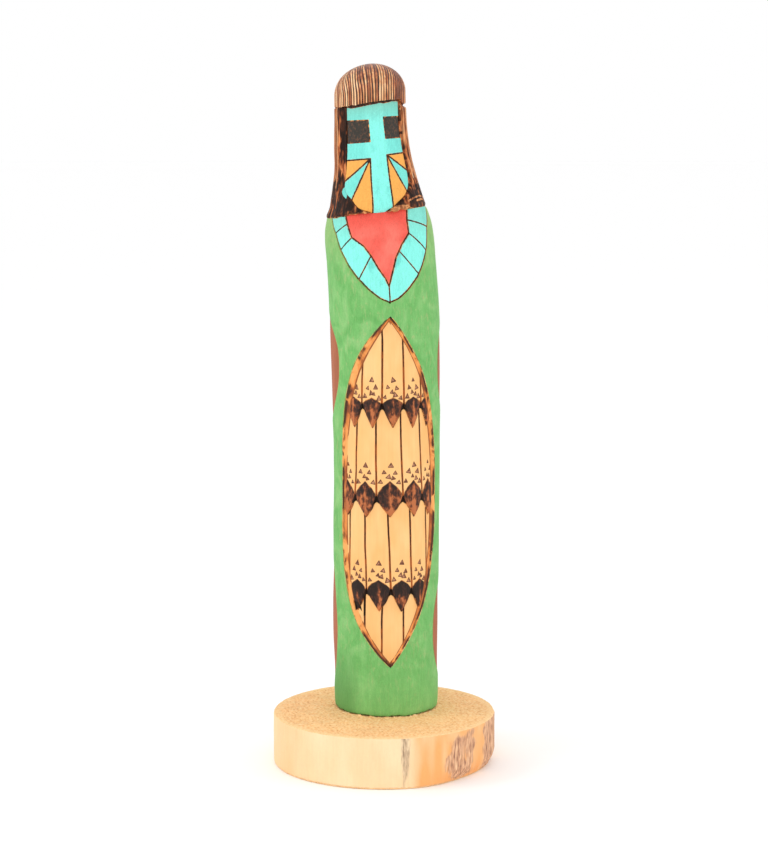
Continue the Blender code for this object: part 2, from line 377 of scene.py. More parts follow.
GREEN = (116, 184, 102)
GREEN_PALE = (138, 194, 118)
GREEN_DEEP = (104, 174, 92)
GREEN_YELLOW = (158, 188, 118)
TURQUOISE = (136, 242, 228)
TURQUOISE_DEEP = (112, 216, 204)
# Turquoise in painted shade, under the hair's hem and under the fringe.
TURQUOISE_SHADOWED = (126, 200, 182)
RED = (248, 120, 104)
RED_DEEP = (234, 86, 72)
OCHRE = (243, 172, 82)
RED_BROWN = (174, 102, 70)
SCORCHED = (226, 138, 62)
BURNED = (112, 58, 28)
CHAR = (36, 20, 12)
BLACK_PAINT = (55, 51, 45)


def wood_fibre(look):
    """Fine vertical grain shared by everything cut from the log."""
    return look.noise((2.2, 2.2, 0.09), detail=3.0)


def paint_finish(look, roughness=0.72):
    """Thin matt paint, with the log's grain and the brush's marks showing in it."""
    fibre = wood_fibre(look)
    speckle = look.noise((2.6, 2.6, 2.0), detail=1.0)
    brushed = look.noise((1.5, 1.5, 0.55), detail=3.0, distortion=1.4)
    look.tint(fibre, 0.93, 1.05)
    look.tint(speckle, 0.94, 1.05)
    look.tint(brushed, 0.93, 1.05)
    look.bump(fibre, 0.05)
    look.bump(speckle, 0.04)
    return look.finish(look.math('MULTIPLY_ADD', speckle, 0.16, roughness - 0.08),
                       Specular_IOR_Level=0.3)


def burn_line(look, distance, core, halo, ragged=0.12):
    """A burned line: a dark core between scorched edges, wavering a little."""
    waver = look.noise((0.9, 0.9, 0.9))
    distance = look.math('MULTIPLY_ADD', look.math('SUBTRACT', waver, 0.5), ragged * 4, distance)
    edge = look.shades(look.noise((0.4, 0.4, 0.4), detail=1.0), (0.4, BURNED), (0.62, SCORCHED))
    look.lay(edge, distance, halo, core)
    middle = look.shades(waver, (0.45, CHAR), (0.70, BURNED))
    look.lay(middle, distance, core + 0.04, core * 0.6)


def robe_material():
    look = Look("green_wash")
    mottle = look.noise((0.11, 0.11, 0.07), detail=6.0, distortion=1.6)
    brush = look.noise((0.55, 0.55, 0.16), detail=5.0, distortion=1.2)
    thin = look.noise((0.7, 0.7, 0.22), detail=6.0, distortion=1.0)
    look.colour = look.shades(mottle, (0.32, GREEN_DEEP), (0.5, GREEN), (0.70, GREEN_PALE))
    look.lay(GREEN_PALE, brush, 0.48, 0.75, 0.40)
    look.lay((186, 184, 128), thin, 0.52, 0.72, 0.35)
    look.lay(GREEN_YELLOW, "height", 205, 234, 0.6)
    # Painted light: the lowest green is made paler, lifting the shade near the base.
    look.lay((130, 198, 116), "height", 30, 6, 0.5)
    # Painted shade: darker green low on the left and along the foot.
    look.colour = look.mix(look.math('MULTIPLY', "shaded", 0.8), look.colour, (94, 154, 82))
    bank = look.shades(brush, (0.4, BURNED), (0.55, (176, 120, 58)))
    look.lay(bank, "edge", 0.65, 0.30)
    look.lay(CHAR, "edge", 0.28, 0.12)
    red_brown = look.tone(RED_BROWN, look.noise((0.3, 0.3, 0.06), detail=3.0), 0.88, 1.1)
    look.lay(red_brown, "side_floor", 0.45, 0.55)
    scorch = look.shades(brush, (0.38, BURNED), (0.48, SCORCHED), (0.60, (236, 192, 134)))
    look.lay(scorch, "rim", 0.5, 0.15)
    look.lay(BURNED, "sunk", 0.10, 0.22)
    return paint_finish(look)


def bib_material():
    look = Look("bib_paint")
    red = look.shades(look.noise((0.12, 0.12, 0.08), detail=3.0), (0.3, RED_DEEP), (0.6, RED))
    # Painted shade: the red deepens towards the top, in the shadow under the chin.
    red = look.mix(look.step("height", 224, 237), red, RED_DEEP)
    patchy = look.noise((0.16, 0.16, 0.10), detail=3.0)
    blue = look.shades(patchy, (0.3, TURQUOISE_DEEP), (0.46, TURQUOISE))
    # Painted shade: the turquoise dulls towards the top, under the hair's hem.
    blue = look.mix(look.step("height", 217, 235, 0.55), blue, TURQUOISE_SHADOWED)
    look.colour = look.mix(look.step("red", 0.06, -0.06), blue, red)
    burn_line(look, "line", 0.28, 0.38, 0.08)
    burn_line(look, "inner", 0.26, 0.58)
    burn_line(look, "border", 0.50, 0.75)
    return paint_finish(look)


def mask_material():
    look = Look("mask_paint")
    patchy = look.noise((0.2, 0.2, 0.12), detail=3.0)
    blue = look.shades(patchy, (0.25, TURQUOISE_DEEP), (0.48, TURQUOISE))
    # Painted shade: the turquoise deepens towards the mask's sides, which turn away from the light.
    blue = look.mix(look.step("outward", 2.5, 7.0, 0.7), blue, TURQUOISE_DEEP)
    # Painted shadow: the forehead turquoise dulls under the fringe.
    blue = look.mix(look.step("height", 274, 288), blue, TURQUOISE_SHADOWED)
    look.colour = look.mix(look.step("ochre", 0.06, -0.06), blue, OCHRE)
    rust = look.shades(look.noise((0.7, 0.7, 0.7)), (0.38, CHAR), (0.5, BURNED), (0.62, SCORCHED))
    look.lay(rust, "eye", 0.26, 0.10)
    worn = look.step(look.noise((1.1, 1.1, 0.8), detail=5.0), 0.48, 0.70, 0.6)
    black = look.tone(BLACK_PAINT, look.noise((1.2, 1.2, 1.2)), 0.8, 1.2)
    black = look.mix(worn, black, (116, 78, 56))
    look.lay(black, "eye", -0.12, -0.42)
    burn_line(look, "line", 0.33, 0.42, 0.10)
    burn_line(look, "border", 0.32, 0.50)
    return paint_finish(look, roughness=0.66)


def hair_material(name, lacquer):
    look = Look(name)
    streak = look.noise((0.8, 0.8, 0.10), detail=3.0)
    tone = look.math('MULTIPLY_ADD', streak, 0.7, look.math('MULTIPLY', "tone", 0.36))
    crest = look.shades(tone, (0.20, (120, 62, 32)), (0.40, (186, 112, 66)),
                        (0.56, (230, 164, 108)), (0.78, (252, 208, 158)))
    cut = look.shades(look.noise((0.35, 0.35, 0.20)), (0.42, (46, 22, 14)), (0.62, (112, 46, 26)))
    look.colour = look.mix(look.step("groove", 0.16, 0.50), crest, cut)
    patchy = look.noise((0.55, 0.55, 0.17), detail=4.0)
    burned = look.shades(patchy, (0.34, CHAR), (0.43, (94, 46, 22)), (0.53, (164, 86, 44)),
                         (0.64, (222, 140, 82)))
    # The char: burned wood, and painted shade in the gap under the fringe's corner.
    look.lay(burned, "char", 0.25, 0.6)
    # Burned black, also laid as painted shade at the top of the left wall.
    soot_and_shade = look.shades(patchy, (0.46, (34, 18, 10)), (0.60, (78, 40, 22)), (0.74, (150, 84, 46)))
    look.lay(soot_and_shade, "black", 0.3, 0.7)
    frayed = look.noise((0.28, 0.28, 1.1), detail=3.0, distortion=0.8)
    bare = look.shades(patchy, (0.40, (150, 84, 48)), (0.60, (232, 162, 104)))
    bared = look.math('ADD', "bare", look.math('MULTIPLY_ADD', frayed, 1.8, -0.9))
    look.lay(bare, bared, 0.45, 1.0)
    look.lay(TURQUOISE_DEEP, "spill", 0.15, -0.1)
    look.bump(streak, 0.08)
    look.bump(wood_fibre(look), 0.05)
    return look.finish(look.math('MULTIPLY_ADD', streak, 0.25, 0.45), Coat_Weight=lacquer,
                       Coat_Roughness=0.3, Specular_IOR_Level=0.18)


def feather_material():
    look = Look("feather_wood")
    fibre = look.noise((0.9, 0.9, 0.05), detail=3.0)
    patchy = look.noise((0.45, 0.45, 0.30), detail=3.0)
    warm = look.noise((0.10, 0.10, 0.05))
    look.colour = look.shades(warm, (0.3, (247, 184, 112)), (0.7, (251, 200, 134)))
    look.tint(fibre, 0.96, 1.03)
    # Lines between feathers: scorched, and blackest near the top of each row.
    line = look.math('MULTIPLY_ADD', look.math('SUBTRACT', patchy, 0.5), 0.35, "line")
    look.lay((176, 92, 36), line, 0.64, 0.36)
    dark = look.math('ADD', look.step(patchy, 0.40, 0.55, 0.7), look.step("along", 0.6, 0.2))
    dark = look.math('MINIMUM', dark, 1.0)
    dark = look.math('MULTIPLY', look.step(line, 0.54, 0.28), dark)
    look.colour = look.mix(dark, look.colour, (58, 30, 18))
    speckle = look.noise((1.0, 1.0, 1.0), detail=1.0)
    spot_colour = look.shades(speckle, (0.4, (112, 68, 48)), (0.6, (196, 138, 104)))
    look.lay((104, 60, 40), "spot", 0.14, -0.02)
    look.lay(spot_colour, "spot", -0.16, -0.34)
    # Tips: burned black above, and browner down their ridge and towards their point.
    scratched = look.noise((1.3, 1.3, 0.5), detail=3.0)
    heat = look.math('MULTIPLY_ADD', "low", 0.30, look.math('MULTIPLY', patchy, 0.80))
    heat = look.math('MULTIPLY_ADD', scratched, 0.50, heat)
    heat = look.math('MULTIPLY_ADD', "ridge", 0.24, heat)
    tip_colour = look.shades(heat, (0.62, CHAR), (0.76, (66, 36, 24)), (0.87, (130, 68, 36)),
                             (0.97, (188, 108, 62)))
    rim = look.shades(patchy, (0.46, (84, 44, 24)), (0.62, (210, 130, 64)))
    look.lay(rim, "tip", 0.46, 0.20)
    look.lay(tip_colour, "tip", 0.10, -0.08)
    # The wall round the panel: orange cut wood, scorched near the rows and at both points.
    scorch = look.noise((0.16, 0.16, 0.09), detail=4.0, distortion=0.8)
    scorch = look.math('MULTIPLY_ADD', "scorch", 0.26, scorch)
    wall = look.shades(scorch, (0.46, (247, 172, 98)), (0.58, (226, 138, 66)), (0.70, (160, 84, 42)),
                       (0.82, (84, 46, 28)))
    look.lay(wall, "border", 1.03, 0.95)
    foot = look.math('ABSOLUTE', look.math('SUBTRACT', "border", 1.0), 0.0)
    foot = look.math('MULTIPLY', look.step(foot, 0.17, 0.06), look.step(scorch, 0.42, 0.52))
    look.colour = look.mix(foot, look.colour, (150, 82, 38))
    brim = look.math('MULTIPLY', look.step("border", 0.55, 0.30), look.step(scorch, 0.50, 0.62))
    look.colour = look.mix(brim, look.colour, (74, 40, 22))
    # The burned cuts go over everything, the wall included.
    look.lay(look.tone(CHAR, patchy, 0.7, 1.6), "notch", 0.16, -0.12)
    look.bump(fibre, 0.05)
    look.bump(look.noise((3.0, 3.0, 0.5), detail=1.0), 0.03)
    return look.finish(look.math('MULTIPLY_ADD', fibre, 0.2, 0.5), Specular_IOR_Level=0.3)


# --- The carving's pieces --------------------------------------------------------------------
COLLAR_OUTLINE = ((194.6, 0), (196.6, 10), (200.5, 21), (206, 33), (211.5, 42), (218.5, 50.5),
                  (227, 57), (235, 70), (238, 74))
PANEL_MIDDLE, PANEL_HALF_HEIGHT, PANEL_HALF_ANGLE, PANEL_TURN = 106.0, 82.5, 60.0, -1.5
PANEL_FULLNESS = {-1: 3.4, 1: 2.4}   # its left side stays wide nearer to its points
PANEL_DEPTH = 1.8
WINDOW_DEPTH = 4.0                # how far the robe is sunk behind the panel and the bib
SIDE_DEPTH = 0.4
NARROW = 0.35                     # width of a closed window, degrees

SIDE_TURN = 99.0                  # from the front to the middle of a side panel
SIDE_BACK = 29.0                  # from there to its rear edge
WALL = (1.2, 2.0)                 # width of the feather panel's sloping wall at its points and halfway

# Side panels: side, height of the widest place, reach above and below it, angle of the front edge.
SIDE_PANELS = ((-1, 40, 37, 31, 72), (-1, 166, 25, 31, 65), (1, 38, 34, 29, 56), (1, 166, 24, 31, 65))


def collar_half(height):
    heights, angles = zip(*COLLAR_OUTLINE)
    return np.interp(height, heights, angles)


def panel_half(height, side):
    """Angle from the feather panel's middle line to its left (-1) or right (1) edge."""
    share = np.clip(np.abs(height - PANEL_MIDDLE) / PANEL_HALF_HEIGHT, 0, 1)
    return PANEL_HALF_ANGLE * (1 - share ** PANEL_FULLNESS[side])


def side_reach(height, side):
    """How far a side's panels reach in front of their middle and behind it."""
    front = np.zeros(np.shape(height))
    back = np.zeros(np.shape(height))
    for panel_side, middle, above, below, front_angle in SIDE_PANELS:
        if panel_side == side:
            share = np.where(height > middle, (height - middle) / above, (middle - height) / below)
            swell = 1 - np.clip(share, 0, 1) ** 2.4
            front = np.maximum(front, (SIDE_TURN - front_angle) * swell)
            back = np.maximum(back, SIDE_BACK * swell)
    return front, back


def bib_sink(angle, height):
    """The chest is pared back under the chin, most in the middle."""
    return (2.6 * smooth(height, 214, 236)) * (1 - smooth(np.abs(angle), 14, 52))


# The log's left side: (height, what it gains in radius).
left_swell = fair_curve(((0, 0), (18, 0.25), (32, 0.75), (50, 0.7), (72, 0.1), (90, 0.0), (108, -0.45),
                         (125, -0.35), (142, 0.3), (162, 0.8), (178, 0.8), (194, 0.1), (210, 0)))


def crowd(count, ends=0.8):
    """Steps from 0 to 1, closer together near both ends."""
    t = np.arange(count) / count
    return t - ends * np.sin(2 * np.pi * t) / (2 * np.pi)


def make_robe(material):
    """The robe, with windows for the bib and the feather panel, and the sunk side panels."""
    heights = np.concatenate([[0, 0.4, 0.8], np.arange(1.2, 235.4, 0.72), [235.6, HEM]])
    height = heights[:, None]
    in_panel = panel_half(height, 1) > NARROW
    in_collar = height > COLLAR_OUTLINE[0][0] + 0.2
    window = [np.where(in_collar, collar_half(height), panel_half(height, side)) for side in (-1, 1)]
    to_left, to_right = (np.maximum(half, NARROW) for half in window)
    turn = PANEL_TURN * (1 - smooth(height, 170, 195))
    left_front, left_back = side_reach(height, -1)
    right_front, right_back = side_reach(height, 1)
    knots = [-180 + 0 * height,
             -SIDE_TURN - np.maximum(left_back, NARROW), -SIDE_TURN + np.maximum(left_front, NARROW),
             turn - to_left, turn + to_right,
             SIDE_TURN - np.maximum(right_front, NARROW), SIDE_TURN + np.maximum(right_back, NARROW),
             180 + 0 * height]
    open_front = (in_panel | in_collar).astype(float)
    open_left, open_right = (left_front > NARROW).astype(float), (right_front > NARROW).astype(float)
    # Spans between the knots: columns, whether sunk, and which openings lie beside them.
    spans = ((26, 0, None, "left"), (20, "left", None, None), (44, 0, "left", "front"),
             (10, "front", None, None), (44, 0, "front", "right"), (20, "right", None, None),
             (26, 0, "right", None))
    opened = {"left": open_left, "right": open_right, "front": open_front}
    columns = {key: [] for key in ("angle", "edge", "rim", "sunk", "side_floor")}
    for number, (count, inside, before, after) in enumerate(spans):
        low, high = knots[number], knots[number + 1]
        t = crowd(count)[None, :]
        angle = low + (high - low) * t
        edge = {"front": BEYOND + 0 * angle, "side": BEYOND + 0 * angle}
        for beside, gap in ((before, angle - low), (after, high - angle)):
            if beside:
                kind = "front" if beside == "front" else "side"
                away = to_arc(gap) + BEYOND * (1 - opened[beside])
                edge[kind] = np.minimum(edge[kind], away)
        inner = (t > 0) * (opened[inside] if inside else 0.0) + 0 * angle
        columns["angle"].append(angle)
        columns["edge"].append(np.where(in_collar, edge["front"], BEYOND))
        columns["rim"].append(np.minimum(edge["side"], np.where(in_collar, BEYOND, edge["front"])))
        columns["sunk"].append(inner * (inside == "front"))
        columns["side_floor"].append(inner * (inside in ("left", "right")))
    angle, edge, rim, sunk, side_floor = (np.hstack(columns[key]) for key in columns)
    surface = log_radius(height) + unevenness(angle, height) - bib_sink(angle, height)
    surface = surface + left_swell(height) * smooth(-angle, 55, 75) * (1 - smooth(-angle, 115, 150))
    # Burned grooves beside the openings, rounded ends, and a slightly ragged foot.
    cut = 0.45 * decay(np.clip(edge, 0, None), 0.35) + 0.25 * decay(np.clip(rim, 0, None), 0.25)
    rounding = 0.5 * decay(height, 0.5) + 0.9 * decay(HEM - height, 0.35)
    radius = surface - cut * (sunk == 0) - WINDOW_DEPTH * sunk - SIDE_DEPTH * side_floor - rounding
    ragged = (0.25 + 0.3 * noise_round(angle, 0, 90, 1, 13)) * decay(height, 1.0)
    # Painted shade: the green is deeper low on the left and along the foot, where it meets the base.
    shaded = smooth(-angle, 30, 55) * (1 - smooth(-angle, 100, 150)) * smooth(height, 36, 10)
    shaded = shaded + 0.3 * smooth(height, 3, 0)
    fields = {"edge": edge, "rim": rim, "sunk": sunk, "side_floor": side_floor, "shaded": shaded,
              "height": height + 0 * angle}
    return tube("robe", place(angle, height + ragged, radius), fields, material)


def inner_collar_line():
    """The bib's inner outline: (arc across, height) from the left hem to the tip to the right hem."""
    left = [(-20.5, 239), (-17.5, 230.5), (-15.7, 225), (-9.9, 220.6), (-6.8, 216), (-3.8, 210),
            (-1.1, 205.7)]
    right = [(2.1, 208), (4.6, 215.6), (8.0, 220.9), (12.6, 225.6), (13.1, 230.5), (15.7, 239)]
    return left + [(0.2, 202.2)] + right


# Lines between the stones of the collar, as (arc across, height).
COLLAR_DIVISIONS = (((-25.6, 227), (-18.0, 231.8)), ((-22.2, 218.6), (-15.7, 225)),
                    ((-13.6, 205), (-6.9, 216)), ((0.2, 202.2), (0.1, 194)),
                    ((6.2, 218.2), (14.9, 208)), ((12.6, 225.6), (21.6, 217.8)),
                    ((13.2, 231.4), (25.2, 227.4)))


def make_bib(material):
    """Red bib with a turquoise mosaic border, flush with the robe."""
    heights = np.linspace(COLLAR_OUTLINE[0][0] + 0.1, HEM + 0.2, 190)
    height = heights[:, None]
    reach = np.maximum(collar_half(height), NARROW) - 0.2
    across = np.linspace(-1, 1, 230)
    # Columns a little closer together near the edges.
    across = across + 0.08 * np.sin(np.pi * across)
    angle = reach * across[None, :] / np.abs(across).max()
    arc = to_arc(angle)
    level = height + 0 * arc
    inner = inner_collar_line()
    red = shape_distance(arc, level, [inner])
    inner_line = line_distance(arc, level, [inner])
    line = line_distance(arc, level, COLLAR_DIVISIONS)
    outline = [(-to_arc(half), low) for low, half in reversed(COLLAR_OUTLINE)]
    outline += [(to_arc(half), low) for low, half in COLLAR_OUTLINE[1:]]
    border = np.minimum(line_distance(arc, level, [outline]), HEM + 0.6 - level)
    surface = log_radius(height) + unevenness(angle, height) - bib_sink(angle, height)
    # Burned lines, deepest round the bib, and a red field that stands back from the collar.
    cut = 0.28 * bell(line, 0.22) + 0.40 * bell(inner_line, 0.3) + 0.55 * decay(border, 0.4)
    proud = 0.15 * smooth(red, 0.0, 1.2)
    radius = surface - 0.05 - cut + proud
    fields = {"red": red, "line": line, "inner": inner_line, "border": border, "height": level}
    return patch("bib", place(angle, height, radius), spine(heights, BODY_SPINE), fields, material)


# Feather rows, top to bottom: height of the corners, height of the tips, and the division lines
# as angles at the row's top and bottom.
FEATHER_ROWS = ((147.0, 137.2, ((-56, -57), (-32.5, -34), (-10, -11), (12.5, 13.5), (33, 35.5), (52, 54))),
                (103.6, 95.2, ((-65, -68), (-40.5, -43.5), (-17.8, -17.2), (9.5, 13), (33, 38.5), (55, 58))),
                (59.8, 50.6, ((-52, -52), (-32, -29.3), (-5, -0.8), (21.5, 23.5), (46, 45))),
                (-10.0, -20.0, ((-52, -52), (-32, -32), (-10.5, -13), (14, 14.5), (46, 46))))
KITE_RISES = (3.1, 6.4, 4.4)      # from a row's corners up to the tops of its kites
KITE = ((-0.86, 0.40), (-0.56, 0.74), (-0.22, 0.94), (0.0, 1.12), (0.24, 0.93), (0.58, 0.70), (0.88, 0.36))
SPOTS = ((0.3, 8.6), (-2.3, 5.2), (2.0, 5.2), (-0.3, 2.9), (-3.6, 0.9), (3.6, 0.6), (1.3, 2.2))
SPOT_SIZE = 1.5
SPOT_CORNERS = (0, 2.2, 4.1)      # directions of a spot's corners, radians
# Deep burned cuts beside the left end of the lowest row.
CHARRED_CUTS = [[(-14.6, 58.5), (-13.3, 58.5), (-13.5, 48), (-14.6, 47.5)],
                [(-20.0, 54.8), (-16.6, 54.0), (-15.4, 49.5), (-17.2, 51.4), (-18.6, 50.0)]]


def row_layout(corner_height, tip_height, rise, lines, random):
    """Kites, small burned triangles and notches of one row, as shapes of (arc across, height)."""
    kites, spots, notches = [], [], []
    bottoms = [to_arc(bottom) for top, bottom in lines]
    for left, right in zip(bottoms, bottoms[1:]):
        middle = (left + right) / 2
        reach = (right - left) / 2 - 0.3
        rise = rise * random.uniform(0.95, 1.06)
        point = middle + 0.3 + random.uniform(-0.3, 0.3)
        kites.append([(middle - reach, corner_height - 0.3)]
                     + [(middle + x * reach, corner_height + y * rise) for x, y in KITE]
                     + [(middle + reach, corner_height - 0.3),
                        (point + 0.56 * reach, (corner_height + tip_height) / 2 - 0.5),
                        (point, tip_height - random.uniform(0, 0.8)),
                        (point - 0.54 * reach, (corner_height + tip_height) / 2 - 0.3)])
        squeeze = reach / 4.9
        for x, y in SPOTS:
            centre_x = middle + x * squeeze + random.uniform(-0.3, 0.3)
            centre_y = corner_height + rise + y + random.uniform(-0.35, 0.35)
            turn, size = random.uniform(-0.3, 0.3), SPOT_SIZE * random.uniform(0.75, 1.1)
            spots.append([(centre_x + size * squeeze * math.sin(turn + corner),
                           centre_y + size * math.cos(turn + corner)) for corner in SPOT_CORNERS])
    for corner in bottoms[1:-1]:
        notches.append([(corner - 2.1, corner_height - 3.2), (corner - 0.2, corner_height + 1.4),
                        (corner + 0.3, corner_height + 1.2), (corner + 1.9, corner_height - 2.8),
                        (corner, corner_height - 1.7)])
    return kites, spots, notches


def make_feather_panel(material):
    """Four rows of carved feathers, each overlapping the next, in the front window."""
    random = np.random.default_rng(71)
    inset = PANEL_HALF_HEIGHT - 0.3
    heights = np.linspace(PANEL_MIDDLE - inset, PANEL_MIDDLE + inset, 460)
    height = heights[:, None]
    across = np.linspace(-1, 1, 200)[None, :]
    half = np.maximum(np.where(across < 0, panel_half(height, -1), panel_half(height, 1)), NARROW)
    angle = PANEL_TURN + half * across
    arc = to_arc(angle)
    level = height + 0 * arc
    wavering = arc + 0.22 * value_noise(level / 11 + arc / 40, arc / 7, 72)
    lines, kites, spots, notches = [], [], [], []
    relief, along_row = np.zeros(arc.shape), np.ones(arc.shape)
    start = PANEL_MIDDLE + PANEL_HALF_HEIGHT
    row_above = np.full(arc.shape, start + 60.0)
    for (corner_height, tip_height, divisions), rise in zip(FEATHER_ROWS, KITE_RISES + (0,)):
        bottoms = [to_arc(bottom) for top, bottom in divisions]
        zigzag_x, zigzag_y = [bottoms[0]], [corner_height]
        for left, right in zip(bottoms, bottoms[1:]):
            zigzag_x += [(left + right) / 2 + 0.3, right]
            zigzag_y += [tip_height - 0.4, corner_height]
        zigzag = np.interp(arc, zigzag_x, zigzag_y)
        in_row = smooth(row_above - level, -0.05, 0.25) * smooth(level - zigzag, -0.25, 0.05)
        along = np.clip((start - level) / (start - tip_height), 0, 1)
        relief = np.maximum(relief, in_row * (0.12 + 0.85 * along))
        along_row = np.where(in_row > 0.5, (start - level) / 40.0, along_row)
        row_above = zigzag
        if corner_height > 0:
            for shapes, made in zip((kites, spots, notches),
                                    row_layout(corner_height, tip_height, rise, divisions, random)):
                shapes += made
        lines += [[(to_arc(top), start + 1.5), (to_arc(bottom), corner_height)]
                  for top, bottom in divisions]
        start = corner_height
    from_point = 1 - np.abs(level - PANEL_MIDDLE) / PANEL_HALF_HEIGHT
    wall = WALL[0] + (WALL[1] - WALL[0]) * smooth(from_point, 0.1, 0.7)
    # Part of the left side's extra fullness is wall.
    fuller = to_arc(panel_half(level, -1) - panel_half(level, 1)) * (arc < 0)
    wall = wall + fuller * np.where(level > PANEL_MIDDLE, 0.5, 0.2)
    edge = line_distance(arc, level, panel_outline()) / wall
    tip = shape_distance(arc, level, kites)
    line = np.where((tip < 0.05) | (edge < 1), BEYOND, line_distance(wavering, level, lines))
    spot = np.where(edge < 1, BEYOND, shape_distance(arc, level, spots))
    notch = shape_distance(arc, level, notches + CHARRED_CUTS)
    # Each kite: how far down it a point lies, its burned ridge, and how it rises to its middle.
    low, ridge, roof = (np.zeros(arc.shape) for _ in range(3))
    for kite in kites:
        xs, ys = zip(*kite)
        middle, reach = (xs[0] + xs[8]) / 2, (xs[8] - xs[0]) / 2
        inside = (np.abs(arc - middle) < reach) & (level < max(ys)) & (level > min(ys))
        share = (max(ys) - level) / (max(ys) - min(ys))
        offset = (arc - middle - 0.3 * share) / reach
        sooty = 0.45 if max(ys) < 80 else 0.0     # the lowest row is the blackest
        aslant = 0.18 * offset * random.choice((-1, 1))
        low = np.where(inside, share - sooty + aslant + random.uniform(-0.12, 0.12), low)
        streak = bell(offset + 0.1 * random.uniform(-1, 1), 0.16) * random.uniform(0.3, 1.0)
        ridge = np.where(inside, streak, ridge)
        roof = np.where(inside, 1 - np.abs(offset), roof)
    scorch = 0.9 * bell(np.abs(level - PANEL_MIDDLE) - PANEL_HALF_HEIGHT + 0.5, 9)
    for (corner_height, tip_height, divisions), share in zip(FEATHER_ROWS, (0.75, 0.4, 0.4)):
        scorch = np.maximum(scorch, share * bell(level - corner_height - 2, 7))
    scorch = np.maximum(scorch, 0.30 * (arc > 0))
    surface = log_radius(height) + unevenness(angle, height) - 0.12
    floor = PANEL_DEPTH * smooth(edge, 0.0, 1.1)
    cut = 0.4 * bell(line, 0.24) + 0.3 * smooth(spot, 0.15, -0.2) + 0.7 * smooth(notch, 0.2, -0.5)
    kite_form = smooth(tip, 0.1, -0.7) * (0.1 + 0.45 * roof)
    chips = 0.12 * value_noise(level / 3, arc / 1.5, 73) * (edge < 1)
    radius = surface - floor + (relief + kite_form) * smooth(edge, 0.3, 1.0) - cut + chips
    fields = {"line": line, "tip": tip, "spot": spot, "notch": notch, "low": low, "along": along_row,
              "ridge": ridge * smooth(tip, 0.0, -0.5), "border": edge, "scorch": scorch}
    points = place(angle, height, radius)
    return patch("feather_panel", points, spine(heights, BODY_SPINE), fields, material)


def panel_outline():
    """The feather panel's left and right edges, as lines of (arc across, height)."""
    heights = np.linspace(PANEL_MIDDLE - PANEL_HALF_HEIGHT, PANEL_MIDDLE + PANEL_HALF_HEIGHT, 48)
    return [[(to_arc(PANEL_TURN + side * half), height)
             for height, half in zip(heights, panel_half(heights, side))] for side in (-1, 1)]


# --- Head ------------------------------------------------------------------------------------
CHIN = 236.2                      # lowest point of the mask
MASK_TURN = 3.5                   # way the mask looks
# The mask's edges as (height, angle), and its front as (height, radius).
MASK_LEFT = ((235, -10), (236.4, -16), (237.2, -22), (238.4, -28), (240.3, -33), (243, -39), (245, -46),
             (247.5, -51.5), (251, -53), (256, -52.5), (290, -52.5))
MASK_RIGHT = ((235, 4), (236.4, 9.5), (237.5, 15.5), (239.7, 24), (242, 34), (244.9, 43.5), (247.5, 49.5),
              (251, 54), (256, 56.5), (262, 57), (270, 55.5), (290, 54.5))
MASK_PROFILE = ((235.0, 19.6), (235.8, 20.3), (236.8, 21.0), (238.4, 21.35), (241, 21.2), (244.5, 20.3),
                (249, 18.9), (255, 17.4), (262, 16.2), (270, 15.5), (277, 15.15), (286, 15.0))
mask_radius = fair_curve(MASK_PROFILE)
mask_left, mask_right = fair_curve(MASK_LEFT), fair_curve(MASK_RIGHT)
EYE_TOP, EYE_BOTTOM = 278.3, 268.1
LEFT_APEX, RIGHT_APEX = (-3.5, 260.3), (4.3, 261.3)
CHEEK = 20.0                      # beyond the mask's edge


def mask_shapes():
    """Painted shapes of the mask, as (distance across its front, height)."""
    left_eye = [(-CHEEK, EYE_TOP + 0.4), (-3.3, EYE_TOP - 0.4),
                (-2.9, EYE_BOTTOM - 0.2), (-CHEEK, EYE_BOTTOM)]
    right_eye = [(3.6, EYE_TOP + 0.3), (CHEEK, EYE_TOP - 0.4),
                 (CHEEK, EYE_BOTTOM + 0.1), (4.2, EYE_BOTTOM + 0.6)]
    left_rays = [(-CHEEK, 260.4), (-CHEEK, 247.2), (-15.2, 239.6), (-5.1, 234.0)]
    right_rays = [(CHEEK, 261.6), (CHEEK, 248.2), (13.4, 241.6), (4.6, 234.0)]
    ochre = [[LEFT_APEX, left_rays[0], left_rays[1]],
             [LEFT_APEX, left_rays[2], (-10, 230), left_rays[3]],
             [RIGHT_APEX, right_rays[0], right_rays[1]],
             [RIGHT_APEX, right_rays[2], (10, 230), right_rays[3]]]
    lines = [[LEFT_APEX, ray] for ray in left_rays] + [[RIGHT_APEX, ray] for ray in right_rays]
    return [left_eye, right_eye], ochre, lines


def fringe_rim(turn):
    """Lower edge of the fringe, cut a little aslant and bulging down over the strand on the right."""
    slant = -0.1 + 1.2 * smooth(CAP_RADIUS * np.sin(np.radians(turn)), -16, 6)
    return RIM + slant - 2.3 * smooth(turn, 52, 64) * (1 - smooth(turn, 100, 140))


